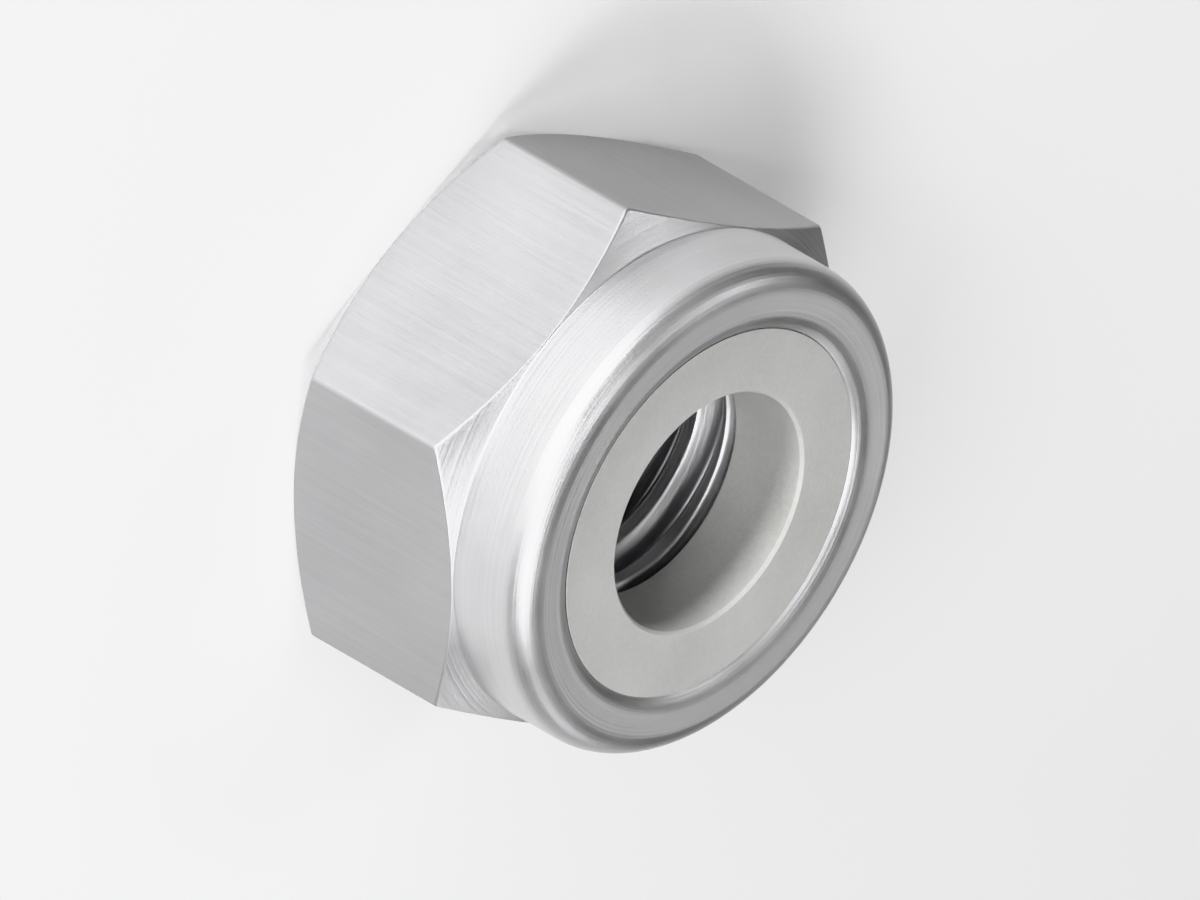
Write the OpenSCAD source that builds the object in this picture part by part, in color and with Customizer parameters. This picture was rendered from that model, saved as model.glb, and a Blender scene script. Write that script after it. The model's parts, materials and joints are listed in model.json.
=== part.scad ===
// Hexagon lock nut with a plastic insert that grips the bolt.
// It stands on its bearing face: the origin is the centre of that face, and +Z runs
// along the thread, out through the collar. Two of the hexagon's corners lie on X.

/* [Thread] */
// Nominal diameter of the thread
thread_d = 10; // [9:0.25:11]
// Pitch of the thread; the bore is drilled one pitch under the nominal diameter
pitch = 1.5; // [1:0.25:1.75]
// How much wider than the thread the countersink in the bearing face opens
entry_extra = 0.8; // [0.2:0.1:1.6]
// How much wider than the thread the countersink under the insert opens
exit_extra = 0.2; // [0.1:0.1:0.8]
// Included angle of both countersinks
countersink_angle = 120; // [90:5:130]

/* [Hexagon] */
// Width across the flats
across_flats = 17; // [16.5:0.25:19]
// Height of the hexagon, from the bearing face to the foot of the collar
hex_h = 7; // [6.5:0.25:9]
// Angle that both turned chamfers make with the bearing face
chamfer_angle = 30; // [20:1:35]
// How much narrower than the flats the bearing face is
bearing_relief = 0.1; // [0.05:0.05:1.5]

/* [Collar] */
// Height of the collar above the hexagon
collar_h = 3; // [2.6:0.1:3.6]
// How much narrower than the flats the collar is, so that a spanner slides over it
collar_relief = 0.1; // [0.05:0.05:0.6]
// Thickness of the collar's wall and of the lip that is rolled from it
collar_wall = 0.8; // [0.6:0.05:0.95]
// Outer radius of the rolled edge
roll_r = 1; // [0.85:0.05:1.3]
// Width of the flat crown of the lip
crown_w = 0.5; // [0.2:0.05:0.9]
// Radius of the lip's nose, which presses on the insert
nose_r = 1; // [0.85:0.05:1.2]

/* [Insert] */
// Depth of the insert's seat below the crown
seat_depth = 3.2; // [2.8:0.1:4]
// How far the insert's face lies below the crown
insert_sink = 0.2; // [0.1:0.05:0.6]
// How much narrower than the thread the insert's bore is
insert_bite = 1.84; // [1.6:0.04:2.4]
// Clearance between the insert and the collar's wall and lip
insert_gap = 0.02; // [0.01:0.01:0.05]
// Chamfer at both ends of the insert's bore
insert_edge = 0.1; // [0.05:0.05:0.3]

/* [Hidden] */
$fn = 128;

// What a tool or a section reaches past the surface that it cuts
overrun = 1;
// Sides of the bar that the body is turned from
sides = 6;

nut_h = hex_h + collar_h;
corner_r = across_flats / 2 / cos(180 / sides);
bearing_r = (across_flats - bearing_relief) / 2;
collar_r = (across_flats - collar_relief) / 2;
stock_r = corner_r + overrun;

bore_r = (thread_d - pitch) / 2;
entry_r = (thread_d + entry_extra) / 2;
exit_r = (thread_d + exit_extra) / 2;
seat_z = nut_h - seat_depth;
entry_z = (entry_r - bore_r) / tan(countersink_angle / 2);
exit_z = seat_z - (exit_r - bore_r) / tan(countersink_angle / 2);

seat_r = collar_r - collar_wall;
lip_z = nut_h - collar_wall;
roll_centre = [collar_r - roll_r, nut_h - roll_r];
nose_centre = [roll_centre.x - crown_w, nut_h - nose_r];
bend_r = roll_r - collar_wall;

insert_r = seat_r - insert_gap;
insert_bore_r = (thread_d - insert_bite) / 2;
insert_z = nut_h - insert_sink;
shoulder_z = lip_z - insert_gap;

// Height that a chamfer climbs from radius r out to the stock
function chamfer_rise(r) = (stock_r - r) * tan(chamfer_angle);

// A quarter of a disc in the section: side [1, 1] keeps the part up and outwards of its centre
module quarter_disc(centre, r, side) {
    intersection() {
        translate(centre) circle(r);
        translate([centre.x + min(side.x, 0) * r, centre.y + min(side.y, 0) * r]) square(r);
    }
}

// Half section of the body up to the roll: faces, chamfers, collar wall, seat, bore and countersinks
module blank_section() {
    polygon([
        [entry_r, 0],
        [bearing_r, 0],
        [stock_r, chamfer_rise(bearing_r)],
        [stock_r, hex_h - chamfer_rise(collar_r)],
        [collar_r, hex_h],
        [collar_r, roll_centre.y],
        [seat_r, roll_centre.y],
        [seat_r, seat_z],
        [exit_r, seat_z],
        [bore_r, exit_z],
        [bore_r, entry_z]
    ]);
}

// Half section of the lip as it is rolled over the insert: the bend, the flat crown and the nose
module lip_section() {
    difference() {
        quarter_disc(roll_centre, roll_r, [1, 1]);
        translate(roll_centre) circle(bend_r);
    }
    translate([nose_centre.x, lip_z]) square([crown_w, collar_wall]);
    intersection() {
        quarter_disc(nose_centre, nose_r, [-1, 1]);
        translate([nose_centre.x - nose_r, lip_z]) square([nose_r, collar_wall]);
    }
}

// Hexagon bar, turned at both ends, drilled, and closed over the insert
module nut_body() {
    color("silver")
    intersection() {
        rotate_extrude() {
            blank_section();
            lip_section();
        }
        translate([0, 0, -overrun]) cylinder(r = corner_r, h = nut_h + 2 * overrun, $fn = sides);
    }
}

// Half section of the insert: a ring with a shoulder that the lip holds down
module insert_section() {
    difference() {
        translate([insert_bore_r, seat_z])
            square([insert_r - insert_bore_r, insert_z - seat_z]);
        translate([nose_centre.x, shoulder_z]) square([insert_r, collar_wall]);
        intersection() {
            translate(nose_centre) circle(nose_r + insert_gap);
            translate([0, shoulder_z]) square([nose_centre.x + crown_w, collar_wall]);
        }
        for (z = [seat_z, insert_z])
            translate([insert_bore_r, z]) rotate(45) square(insert_edge * sqrt(2), center = true);
        difference() {
            translate(roll_centre) square(overrun);
            translate(roll_centre) circle(bend_r - insert_gap);
        }
    }
}

// Plastic ring with a plain bore, pressed into the collar
module insert_ring() {
    color("ivory")
    rotate_extrude() insert_section();
}

nut_body();
insert_ring();
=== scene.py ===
import json
import math

import bmesh
import bpy
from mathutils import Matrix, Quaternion, Vector


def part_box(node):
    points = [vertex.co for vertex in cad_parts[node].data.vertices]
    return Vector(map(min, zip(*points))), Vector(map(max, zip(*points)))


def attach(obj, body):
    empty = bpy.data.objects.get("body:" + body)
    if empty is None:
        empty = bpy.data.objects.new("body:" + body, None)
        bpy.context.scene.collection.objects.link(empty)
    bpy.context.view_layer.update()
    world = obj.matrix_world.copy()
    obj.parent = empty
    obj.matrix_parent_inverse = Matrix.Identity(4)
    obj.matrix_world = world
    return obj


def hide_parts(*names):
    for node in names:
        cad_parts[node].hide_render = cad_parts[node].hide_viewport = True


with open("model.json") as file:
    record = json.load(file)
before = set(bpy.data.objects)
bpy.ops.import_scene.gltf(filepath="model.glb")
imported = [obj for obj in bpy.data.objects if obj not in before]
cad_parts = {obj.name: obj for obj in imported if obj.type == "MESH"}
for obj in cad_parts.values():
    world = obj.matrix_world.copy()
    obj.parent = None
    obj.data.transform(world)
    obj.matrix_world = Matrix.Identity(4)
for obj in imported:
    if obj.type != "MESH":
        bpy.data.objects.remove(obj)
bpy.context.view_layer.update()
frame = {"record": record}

# The body: a piece of hexagon steel bar, faced and chamfered at both ends, drilled, tapped and
# plated with bright zinc. Its collar is turned thin and is rolled over the plastic ring as the
# last step. The real thread, which the plain solid leaves out, is cut here.
MM = 0.001
mounts = {mount["name"]: mount for mount in frame["record"]["mounts"]}
body_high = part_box("nut_body")[1]
ring_low, ring_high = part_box("insert_ring")

flats_r = body_high.y
nut_h = body_high.z
seat_z = ring_low.z
bore_r = mounts["thread"]["dims"]["r_mm"] * MM
wall_middle = mounts["thread"]["pos_m"][2]
wall_half = mounts["thread"]["dims"]["length_mm"] * MM / 2
entry_z = wall_middle - wall_half
exit_z = wall_middle + wall_half

sides = 6
half_flat = math.pi / sides
corner_round = 0.25 * MM
turned_relief = 0.05 * MM
turned_r = flats_r - turned_relief
hex_h = 7 * MM
chamfer_angle = math.radians(30)
sink_angle = math.radians(60)
edge_break = 0.04 * MM
foot_break = 0.03 * MM
break_growth = 0.08

wall = 0.8 * MM
roll_r = 1 * MM
crown_w = 0.5 * MM
nose_r = 1 * MM
roll_centre = (turned_r - roll_r, nut_h - roll_r)
nose_centre = (roll_centre[0] - crown_w, nut_h - nose_r)
lip_z = nut_h - wall
bend_r = roll_r - wall
seat_r = turned_r - wall

thread_r = 5 * MM
pitch = 1.5 * MM
crest_round = 0.05 * MM
entry_round = 0.3 * MM

rows_a_pitch = 32
columns_a_turn = sides * 60
crowding = 0.88
weld = 0.0002 * MM
sharp_from = math.radians(80)
# The drawn value of a face is the mean of its points' values, so only a face on a flat passes this
all_drawn = 0.9


class Term:
    """A number inside a node tree. Arithmetic on terms adds the nodes that carry it out."""

    def __init__(self, socket):
        self.socket = socket
        self.tree = socket.id_data

    def math(self, operation, *others):
        node = self.tree.nodes.new("ShaderNodeMath")
        node.operation = operation
        for place, value in zip(node.inputs, (self, *others)):
            plug(place, value)
        return Term(node.outputs[0])

    def __add__(self, other):
        return self.math("ADD", other)

    def __sub__(self, other):
        return self.math("SUBTRACT", other)

    def __mul__(self, other):
        return self.math("MULTIPLY", other)

    def __truediv__(self, other):
        return self.math("DIVIDE", other)


def plug(place, value):
    """Fills one input of a node: a term or socket is linked to it, anything else is set on it."""
    if isinstance(value, Term):
        value = value.socket
    if isinstance(value, bpy.types.NodeSocket):
        place.id_data.links.new(value, place)
    else:
        place.default_value = value


def step(tree, kind, inputs=(), **settings):
    """Adds one node to a tree, with its settings and its inputs by name, and returns it."""
    node = tree.nodes.new(kind)
    for name, value in settings.items():
        setattr(node, name, value)
    for name, value in dict(inputs).items():
        plug(next(s for s in node.inputs if s.name == name and s.enabled), value)
    return node


def out(node, name=None):
    """A node's first live output, or the one of that name, as a term."""
    return Term(next(s for s in node.outputs if s.enabled and name in (None, s.name)))


def attribute(tree, name, kind="FLOAT"):
    """A value that the points carry with them."""
    return out(step(tree, "GeometryNodeInputNamedAttribute", {"Name": name}, data_type=kind))


def new_rule(name, sizes):
    """A geometry tree with a shape to work on and one named input for each size."""
    tree = bpy.data.node_groups.new(name, "GeometryNodeTree")
    tree.interface.new_socket("Shape", in_out="INPUT", socket_type="NodeSocketGeometry")
    for label, kind in sizes.items():
        tree.interface.new_socket(label, in_out="INPUT", socket_type=kind)
    tree.interface.new_socket("Piece", in_out="OUTPUT", socket_type="NodeSocketGeometry")
    given = tree.nodes.new("NodeGroupInput").outputs
    return tree, {s.name: Term(s) for s in given if s.name}


def sheet_of_rows(tree, columns, rows):
    """A strip of faces to be rolled up, with the column and the row that each of its points is in."""
    grid = step(tree, "GeometryNodeMeshGrid", {"Vertices X": columns + 1, "Vertices Y": rows})
    index = out(step(tree, "GeometryNodeInputIndex"))
    column = (index / rows).math("FLOOR")
    return out(grid, "Mesh"), column, index - column * rows


def turn_of(column, columns, crowd):
    """The angle of a column, and its lean from the middle of its flat, with more columns at the corners."""
    flat = column / columns * sides
    along = flat.math("FRACT") * 2 - 1
    eased = along + (along * math.pi).math("SINE") * crowd / math.pi
    angle = (flat.math("FLOOR") + (eased + 1) / 2) * (2 * half_flat)
    return angle, eased.math("ABSOLUTE") * half_flat


def put(tree, strip, radius, angle, height):
    """Rolls a strip up: each point goes to its radius, angle and height."""
    place = step(tree, "ShaderNodeCombineXYZ",
                 {"X": radius * angle.math("COSINE"), "Y": radius * angle.math("SINE"), "Z": height})
    return out(step(tree, "GeometryNodeSetPosition", {"Geometry": strip, "Position": out(place)}))


def close_up(tree, shape, finish, where=True):
    """Ends a rule: points that meet become one, and the piece gets its finish where it is wanted."""
    merged = step(tree, "GeometryNodeMergeByDistance", {"Geometry": shape, "Distance": weld})
    smooth = step(tree, "GeometryNodeSetShadeSmooth", {"Geometry": out(merged)})
    real = step(tree, "GeometryNodeRealizeInstances", {"Geometry": out(smooth)})
    return out(step(tree, "GeometryNodeSetMaterial",
                    {"Geometry": out(real), "Selection": where, "Material": finish}))


def turning_rule():
    """A half section carried round the axis, standing out with the hexagon where its points say so."""
    size = "NodeSocketFloat"
    tree, given = new_rule("turned_from_hexagon_bar", {
        "Columns": "NodeSocketInt", "Crowding": size, "Flats radius": size, "Corner round": size,
        "Turned radius": size, "Turned finish": "NodeSocketMaterial", "Drawn finish": "NodeSocketMaterial"})
    section = given["Shape"]
    count = out(step(tree, "GeometryNodeAttributeDomainSize", {"Geometry": section}), "Point Count")
    strip, column, row = sheet_of_rows(tree, given["Columns"], count)
    angle, lean = turn_of(column, given["Columns"], given["Crowding"])

    def of_station(kind, value):
        return step(tree, "GeometryNodeSampleIndex",
                    {"Geometry": section, "Value": value, "Index": row}, data_type=kind)

    here = of_station("FLOAT_VECTOR", out(step(tree, "GeometryNodeInputPosition")))
    here = step(tree, "ShaderNodeSeparateXYZ", {"Vector": out(here)})
    spread = of_station("FLOAT_VECTOR", attribute(tree, "spread", "FLOAT_VECTOR"))
    spread = step(tree, "ShaderNodeSeparateXYZ", {"Vector": out(spread)})
    drawn = out(of_station("FLOAT", attribute(tree, "drawn")))

    flats, rounding = given["Flats radius"], given["Corner round"]
    round_at = (flats - rounding) / math.cos(half_flat)
    from_corner = (lean - half_flat).math("ABSOLUTE")
    side = round_at * from_corner.math("SINE")
    chord = (rounding * rounding - side * side).math("MAXIMUM", 0).math("SQRT")
    on_corner = round_at * from_corner.math("COSINE") + chord
    on_flat = flats / lean.math("COSINE")
    last_flat = ((flats - rounding) * math.tan(half_flat) / flats).math("ARCTANGENT")
    hexagon = on_flat + (on_corner - on_flat) * lean.math("GREATER_THAN", last_flat)

    stand_out = hexagon - given["Turned radius"]
    radius = out(here, "X") + out(spread, "X") * stand_out
    height = out(here, "Z") + out(spread, "Z") * stand_out
    rolled = put(tree, strip, radius, angle, height)
    noted = step(tree, "GeometryNodeStoreNamedAttribute",
                 {"Geometry": rolled, "Name": "drawn", "Value": drawn}, data_type="FLOAT", domain="POINT")
    turned = close_up(tree, out(noted), given["Turned finish"])
    flats_only = attribute(tree, "drawn").math("GREATER_THAN", all_drawn)
    made = close_up(tree, turned, given["Drawn finish"], flats_only)
    plug(tree.nodes.new("NodeGroupOutput").inputs[0], made)
    return tree


def tapping_rule():
    """A right-hand thread cut from one countersink to the other, closed on to the turned piece.

    It has the standard form: flanks at 60 degrees and a root flat an eighth of the pitch wide. Its
    rows start below the low end and go past the high one, and are held at those two ends. The low
    countersink meets it in a wider round, because the edge of the run-out shows there."""
    size = "NodeSocketFloat"
    tree, given = new_rule("tapped_thread", {
        "Columns": "NodeSocketInt", "Crowding": size, "Rows a pitch": "NodeSocketInt", "Pitch": size,
        "Thread radius": size, "Bore radius": size, "Crest round": size, "Entry round": size,
        "Low end": size, "High end": size, "Low wall": size, "High wall": size, "Sink slope": size,
        "Turned finish": "NodeSocketMaterial"})
    low, high, lead = given["Low end"], given["High end"], given["Pitch"]
    spare_turns = 2
    lead_in = 1.5
    turns = ((high - low) / lead).math("CEIL") + spare_turns
    rows = turns * given["Rows a pitch"] + 1
    strip, column, row = sheet_of_rows(tree, given["Columns"], rows)
    angle, _ = turn_of(column, given["Columns"], given["Crowding"])
    turn = row / given["Rows a pitch"]
    height = low + (turn - lead_in + angle / math.tau) * lead
    height = height.math("MAXIMUM", low).math("MINIMUM", high)

    half_root = lead / 16
    flank_slope = math.sqrt(3)
    from_root = (turn.math("FRACT") - 0.5).math("ABSOLUTE") * lead
    flank = given["Thread radius"] + (half_root - from_root) * flank_slope
    cut = flank.math("SMOOTH_MIN", given["Thread radius"], given["Crest round"])
    cut = cut.math("SMOOTH_MAX", given["Bore radius"], given["Crest round"])
    low_cone = given["Bore radius"] + (given["Low wall"] - height) * given["Sink slope"]
    high_cone = given["Bore radius"] + (height - given["High wall"]) * given["Sink slope"]
    radius = cut.math("SMOOTH_MAX", low_cone, given["Entry round"])
    radius = radius.math("SMOOTH_MAX", high_cone, given["Crest round"])

    thread = put(tree, strip, radius, angle, height)
    joined = step(tree, "GeometryNodeJoinGeometry")
    for part in (thread, given["Shape"]):
        plug(joined.inputs[0], part)
    all_but_flats = attribute(tree, "drawn").math("LESS_THAN", all_drawn)
    made = close_up(tree, out(joined), given["Turned finish"], all_but_flats)
    plug(tree.nodes.new("NodeGroupOutput").inputs[0], made)
    return tree


def edge(place, spread, before, after, size, growth, drawn=(0, 0), steps=4):
    """Stations of one broken edge: an arc between the directions to its two neighbours.

    The edge is at place, and moves by spread with what the hexagon stands out there. Its radius is
    size, and grows with the same measure. A station on each side keeps the flat parts flat."""
    margin = 0.25
    before, after = Vector(before).normalized(), Vector(after).normalized()
    half_turn = (math.pi - before.angle(after)) / 2
    reach = math.tan(half_turn)
    middle = (before + after).normalized() / math.cos(half_turn)
    first = before * reach - middle
    last = after * reach - middle
    unit = [before * (reach + margin)]
    for i in range(steps + 1):
        unit.append(middle + first.slerp(last, i / steps))
    unit.append(after * (reach + margin))
    stations = []
    for i, u in enumerate(unit):
        at = Vector(place) + u * size
        move = Vector(spread) + u * growth
        stations.append((at.x, at.y, move.x, move.y, drawn[i > len(unit) / 2]))
    return stations


def arc(centre, radius, start, end, steps):
    """Stations of a round stretch, from one angle to the other, in degrees."""
    angles = [math.radians(start + (end - start) * i / steps) for i in range(steps + 1)]
    return [(centre[0] + radius * math.cos(a), centre[1] + radius * math.sin(a), 0, 0, 0) for a in angles]


def section_object(name, stations):
    """A half section as loose points: reach and height, with what each one does along the hexagon."""
    mesh = bpy.data.meshes.new(name)
    mesh.from_pydata([(x, 0, z) for x, z, *_ in stations], [], [])
    spread = mesh.attributes.new("spread", "FLOAT_VECTOR", "POINT")
    for i, (_, _, out_r, up_z, _) in enumerate(stations):
        spread.data[i].vector = (out_r, 0, up_z)
    drawn = mesh.attributes.new("drawn", "FLOAT", "POINT")
    for i, station in enumerate(stations):
        drawn.data[i].value = station[-1]
    made = bpy.data.objects.new(name, mesh)
    bpy.context.scene.collection.objects.link(made)
    return made


def follow(piece, tree, sizes):
    """Puts a rule on a piece as a modifier, with its inputs set by their identifiers."""
    modifier = piece.modifiers.new(tree.name, "NODES")
    modifier.node_group = tree
    for item in tree.interface.items_tree:
        if item.item_type == "SOCKET" and item.name in sizes:
            modifier[item.identifier] = sizes[item.name]


def finished(piece, name):
    """The evaluated piece as a plain mesh, faces outward, without modifiers or its empty first finish."""
    seen = piece.evaluated_get(bpy.context.evaluated_depsgraph_get())
    mesh = bpy.data.meshes.new_from_object(seen)
    mesh.materials.pop(index=0)
    bpy.data.objects.remove(piece)
    shell = bmesh.new()
    shell.from_mesh(mesh)
    bmesh.ops.recalc_face_normals(shell, faces=shell.faces)
    shell.to_mesh(mesh)
    shell.free()
    mesh.name = name
    mesh.set_sharp_from_angle(angle=sharp_from)
    made = bpy.data.objects.new(name, mesh)
    bpy.context.scene.collection.objects.link(made)
    return made


def new_finish(name):
    """An empty material, with its tree and its shader."""
    finish = bpy.data.materials.new(name)
    finish.use_nodes = True
    return finish, finish.node_tree, finish.node_tree.nodes["Principled BSDF"]


def mottle(tree, place, scale, detail):
    """Noise that follows a place: clouds at a low scale, grain at a high one."""
    return out(step(tree, "ShaderNodeTexNoise", {"Vector": place, "Scale": scale, "Detail": detail}))


def widened(tree, value, low, high):
    """Noise keeps near the middle of its range. This spreads that middle from low to high."""
    return out(step(tree, "ShaderNodeMapRange", {"Value": value, "From Min": 0.35, "From Max": 0.65,
                                                 "To Min": low, "To Max": high}))


def turned_marks(tree, place):
    """Tool marks that run round the axis: they change with reach and height, and hardly with angle."""
    marks_a_metre = 8000
    marks_round = 0.5
    apart = step(tree, "ShaderNodeSeparateXYZ", {"Vector": place})
    x, y, z = (out(apart, axis) for axis in "XYZ")
    reach = (x * x + y * y).math("SQRT")
    round_axis = step(tree, "ShaderNodeCombineXYZ", {
        "X": x / reach * marks_round, "Y": y / reach * marks_round, "Z": reach * marks_a_metre})
    return out(step(tree, "ShaderNodeTexNoise", {"Vector": out(round_axis), "W": z * marks_a_metre,
                                                 "Scale": 1.0, "Detail": 3.0}, noise_dimensions="4D"))


def drawn_marks(tree, place):
    """Marks of the drawing die, fine across the bar and long down it."""
    across, down = 6000, 200
    down_bar = step(tree, "ShaderNodeMapping", {"Vector": place, "Scale": (across, across, down)})
    return mottle(tree, out(down_bar), scale=1.0, detail=3.0)


def cover(tree, shader, tones, share, roughness, relief, depth):
    """Gives a finish its colour, a share of the way between two tones, its roughness and its relief."""
    tone = step(tree, "ShaderNodeMix", {"Factor": share, "A": tones[0], "B": tones[1]}, data_type="RGBA")
    bump = step(tree, "ShaderNodeBump", {"Height": relief, "Distance": depth, "Strength": 1.0})
    plug(shader.inputs["Base Color"], out(tone))
    plug(shader.inputs["Roughness"], roughness)
    plug(shader.inputs["Normal"], out(bump))


def zinc(name, grey, marks_of, mark_depth, gloss):
    """Bright zinc on steel of one grey, with the tool marks that the steel had before plating."""
    dull, bright, blue_cast = 0.76, 1.24, 1.015
    finish, tree, shader = new_finish(name)
    place = out(step(tree, "ShaderNodeTexCoord"), "Object")
    plug(shader.inputs["Metallic"], 1.0)
    marks = marks_of(tree, place)
    cloud = mottle(tree, place, scale=260.0, detail=5.0)
    speckle = mottle(tree, place, scale=14000.0, detail=2.0)
    cover(tree, shader,
          tones=[(grey * k, grey * k, grey * k * blue_cast, 1) for k in (dull, bright)],
          share=cloud * 0.5 + marks * 0.35 + speckle * 0.15,
          roughness=widened(tree, cloud * 0.6 + speckle * 0.4, *gloss),
          relief=marks + speckle * 0.25, depth=mark_depth)
    return finish


turned_zinc = zinc("turned_zinc", grey=0.6, marks_of=turned_marks, mark_depth=0.016 * MM, gloss=(0.4, 0.52))
drawn_zinc = zinc("drawn_zinc", grey=0.44, marks_of=drawn_marks, mark_depth=0.012 * MM, gloss=(0.52, 0.64))

rise = math.tan(chamfer_angle)
slope = math.tan(sink_angle)
up_chamfer = (math.cos(chamfer_angle), math.sin(chamfer_angle))
down_chamfer = (up_chamfer[0], -up_chamfer[1])
into_bore = (-math.sin(sink_angle), math.cos(sink_angle))
entry_r = bore_r + entry_z * slope
exit_r = bore_r + (seat_z - exit_z) * slope
lip_start = math.degrees(math.asin((lip_z - nose_centre[1]) / nose_r))

# From the lower countersink round the outside, over the lip and under it to the upper countersink
body_stations = [
    *edge((entry_r, 0), (0, 0), into_bore, (1, 0), edge_break, 0)[1:],
    *edge((turned_r, 0), (0, 0), (-1, 0), up_chamfer, foot_break, break_growth),
    *edge((turned_r, 0), (1, rise), (-up_chamfer[0], -up_chamfer[1]), (0, 1),
          edge_break, break_growth, drawn=(0, 1)),
    *edge((turned_r, hex_h), (1, -rise), (0, -1), (-down_chamfer[0], -down_chamfer[1]),
          edge_break, break_growth, drawn=(1, 0)),
    *edge((turned_r, hex_h), (0, 0), down_chamfer, (0, 1), edge_break, break_growth),
    *arc(roll_centre, roll_r, 0, 90, steps=20),
    *arc(nose_centre, nose_r, 90, 180 - lip_start, steps=18),
    *arc(roll_centre, bend_r, 90, 0, steps=4),
    (seat_r, seat_z, 0, 0, 0),
    *edge((exit_r, seat_z), (0, 0), (1, 0), (into_bore[0], -into_bore[1]), edge_break, 0)[:-1],
]
thread_low, thread_high = body_stations[0][1], body_stations[-1][1]
turning = turning_rule()

nut_body = section_object("nut_blank", body_stations)
follow(nut_body, turning, {
    "Columns": columns_a_turn, "Crowding": crowding, "Flats radius": flats_r, "Corner round": corner_round,
    "Turned radius": turned_r, "Turned finish": turned_zinc, "Drawn finish": drawn_zinc})
follow(nut_body, tapping_rule(), {
    "Columns": columns_a_turn, "Crowding": crowding, "Rows a pitch": rows_a_pitch, "Pitch": pitch,
    "Thread radius": thread_r, "Bore radius": bore_r, "Crest round": crest_round,
    "Entry round": entry_round, "Low end": thread_low, "High end": thread_high,
    "Low wall": entry_z, "High wall": exit_z, "Sink slope": slope, "Turned finish": turned_zinc})
nut_body = finished(nut_body, "nut_body_steel")
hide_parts("nut_body")
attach(nut_body, "root")

# The ring: a moulded ring of natural polyamide, dropped into the collar before the lip is rolled
# over its shoulder. Its plain bore is narrower than the bolt, which presses its own way through.
ring_bore_r = mounts["insert_bore"]["dims"]["r_mm"] * MM
ring_r = ring_high.x
ring_top = ring_high.z
ring_gap = seat_r - ring_r
ring_chamfer = 0.1 * MM
ring_break = 0.03 * MM
ring_feather = 0.02 * MM
milky_tones = [(0.43, 0.43, 0.418, 1), (0.5, 0.5, 0.49, 1)]


def polyamide():
    """Natural polyamide: milky, half matt, with the grain and the turned marks of its mould."""
    finish, tree, shader = new_finish("moulded_polyamide")
    place = out(step(tree, "ShaderNodeTexCoord"), "Object")
    plug(shader.inputs["Subsurface Weight"], 0.35)
    plug(shader.inputs["Subsurface Radius"], (1.0, 1.0, 1.0))
    plug(shader.inputs["Subsurface Scale"], 0.5 * MM)
    cloud = mottle(tree, place, scale=320.0, detail=4.0)
    grain = mottle(tree, place, scale=7000.0, detail=3.0)
    cover(tree, shader,
          tones=milky_tones,
          share=widened(tree, cloud * 0.6 + grain * 0.4, 0, 1),
          roughness=widened(tree, grain, 0.4, 0.55),
          relief=grain + turned_marks(tree, place) * 0.5, depth=0.012 * MM)
    return finish


nose_gap_r = nose_r + ring_gap
shoulder_start = math.degrees(math.asin((lip_z - ring_gap - nose_centre[1]) / nose_gap_r))
face_angle = math.asin((ring_top - nose_centre[1]) / nose_gap_r)
face_start = math.degrees(face_angle)
face_r = nose_centre[0] - nose_gap_r * math.cos(face_angle)
down_nose = (-math.sin(face_angle), -math.cos(face_angle))
# Degrees that the arc along the nose stops short of the face, to leave room for the feather edge
feather_room = 4

# Once round, from the foot of the bore outwards and back over the shoulder and the face
ring_stations = [
    *edge((ring_bore_r, seat_z + ring_chamfer), (0, 0), (0, 1), (1, -1), ring_break, 0),
    *edge((ring_bore_r + ring_chamfer, seat_z), (0, 0), (-1, 1), (1, 0), ring_break, 0),
    *edge((ring_r, seat_z), (0, 0), (-1, 0), (0, 1), ring_break, 0),
    *arc(roll_centre, bend_r - ring_gap, 0, 90, steps=5),
    *arc(nose_centre, nose_gap_r, 180 - shoulder_start, 180 - face_start + feather_room, steps=10),
    *edge((face_r, ring_top), (0, 0), down_nose, (-1, 0), ring_feather, 0, steps=6),
    *edge((ring_bore_r + ring_chamfer, ring_top), (0, 0), (1, 0), (-1, -1), ring_break, 0),
    *edge((ring_bore_r, ring_top - ring_chamfer), (0, 0), (1, 1), (0, -1), ring_break, 0),
]
ring_stations.append(ring_stations[0])
plastic = polyamide()
insert_ring = section_object("ring_blank", ring_stations)
follow(insert_ring, turning, {
    "Columns": columns_a_turn, "Crowding": crowding, "Flats radius": flats_r, "Corner round": corner_round,
    "Turned radius": turned_r, "Turned finish": plastic, "Drawn finish": plastic})
insert_ring = finished(insert_ring, "insert_ring_polyamide")
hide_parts("insert_ring")
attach(insert_ring, "root")

# The studio: a pale matt floor, a faint even sky, a large key light over the +Y side, a long strip
# low under the camera and five smaller lights all round, all soft. The camera looks along the
# drawing's isometric direction, rolled so that the thread's axis runs down to the right.
floor_half = 0.5
floor_drop = 0.01 * MM
floor_grey = (0.93, 0.93, 0.93, 1)
sky_strength = 0.05
light_distance = 0.25
camera_distance = 0.15
camera_roll = math.radians(120)
picture_width = 0.03728
nearest, farthest = 0.01, 2
aim = Vector((0, 0, nut_h / 2))

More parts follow.
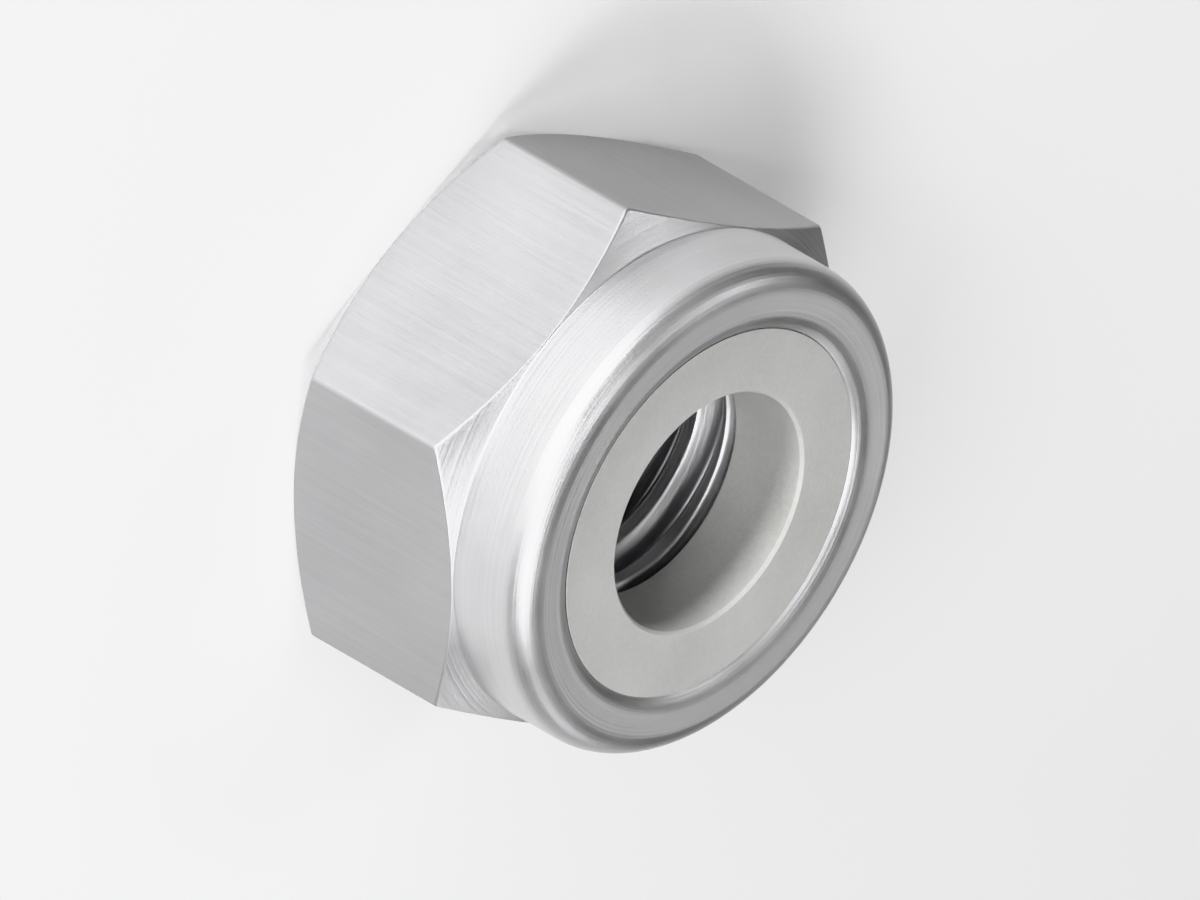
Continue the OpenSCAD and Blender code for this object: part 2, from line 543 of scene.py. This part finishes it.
floor_mesh = bpy.data.meshes.new("floor")
floor_mesh.from_pydata([(-floor_half, -floor_half, 0), (floor_half, -floor_half, 0),
                        (floor_half, floor_half, 0), (-floor_half, floor_half, 0)], [], [(0, 1, 2, 3)])
floor = bpy.data.objects.new("floor", floor_mesh)
floor.location.z = -floor_drop
bpy.context.scene.collection.objects.link(floor)
floor_finish, _, floor_shader = new_finish("floor_paper")
plug(floor_shader.inputs["Base Color"], floor_grey)
plug(floor_shader.inputs["Roughness"], 0.9)
floor_mesh.materials.append(floor_finish)

sky = bpy.data.worlds.new("sky")
sky.use_nodes = True
plug(sky.node_tree.nodes["Background"].inputs["Color"], (1, 1, 1, 1))
plug(sky.node_tree.nodes["Background"].inputs["Strength"], sky_strength)
bpy.context.scene.world = sky
bpy.context.scene.view_settings.view_transform = "Khronos PBR Neutral"


def softbox(name, azimuth, elevation, power, width=0.12, height=0.12):
    """A soft light turned to the nut. Its azimuth is counted from +X towards +Y, in degrees."""
    lamp = bpy.data.lights.new(name, "AREA")
    lamp.shape = "RECTANGLE"
    lamp.size = width
    lamp.size_y = height
    lamp.energy = power
    box = bpy.data.objects.new(name, lamp)
    a, e = math.radians(azimuth), math.radians(elevation)
    towards = Vector((math.cos(a) * math.cos(e), math.sin(a) * math.cos(e), math.sin(e)))
    box.location = aim + towards * light_distance
    box.rotation_mode = "QUATERNION"
    box.rotation_quaternion = towards.to_track_quat("Z", "Y")
    box.visible_camera = False
    bpy.context.scene.collection.objects.link(box)


softbox("key_light", 115, 48, power=0.4)
softbox("low_strip", 34, 5, power=0.82, width=0.22, height=0.04)
softbox("front_light", 64, 31, power=0.26, width=0.1, height=0.08)
softbox("top_light", 15, 72, power=0.1, width=0.08, height=0.08)
softbox("side_light", -66, 46, power=0.08, width=0.06, height=0.06)
softbox("back_light", 180, 22, power=0.055, width=0.06, height=0.06)
softbox("rear_light", 230, 34, power=0.05, width=0.1, height=0.08)

camera_data = bpy.data.cameras.new("camera")
camera_data.type = "ORTHO"
camera_data.ortho_scale = picture_width
camera_data.clip_start = nearest
camera_data.clip_end = farthest
camera = bpy.data.objects.new("camera", camera_data)
back = Vector((1, 1, 1)).normalized()
camera.location = aim + back * camera_distance
camera.rotation_mode = "QUATERNION"
camera.rotation_quaternion = back.to_track_quat("Z", "Y") @ Quaternion((0, 0, 1), camera_roll)
bpy.context.scene.collection.objects.link(camera)
bpy.context.scene.camera = camera
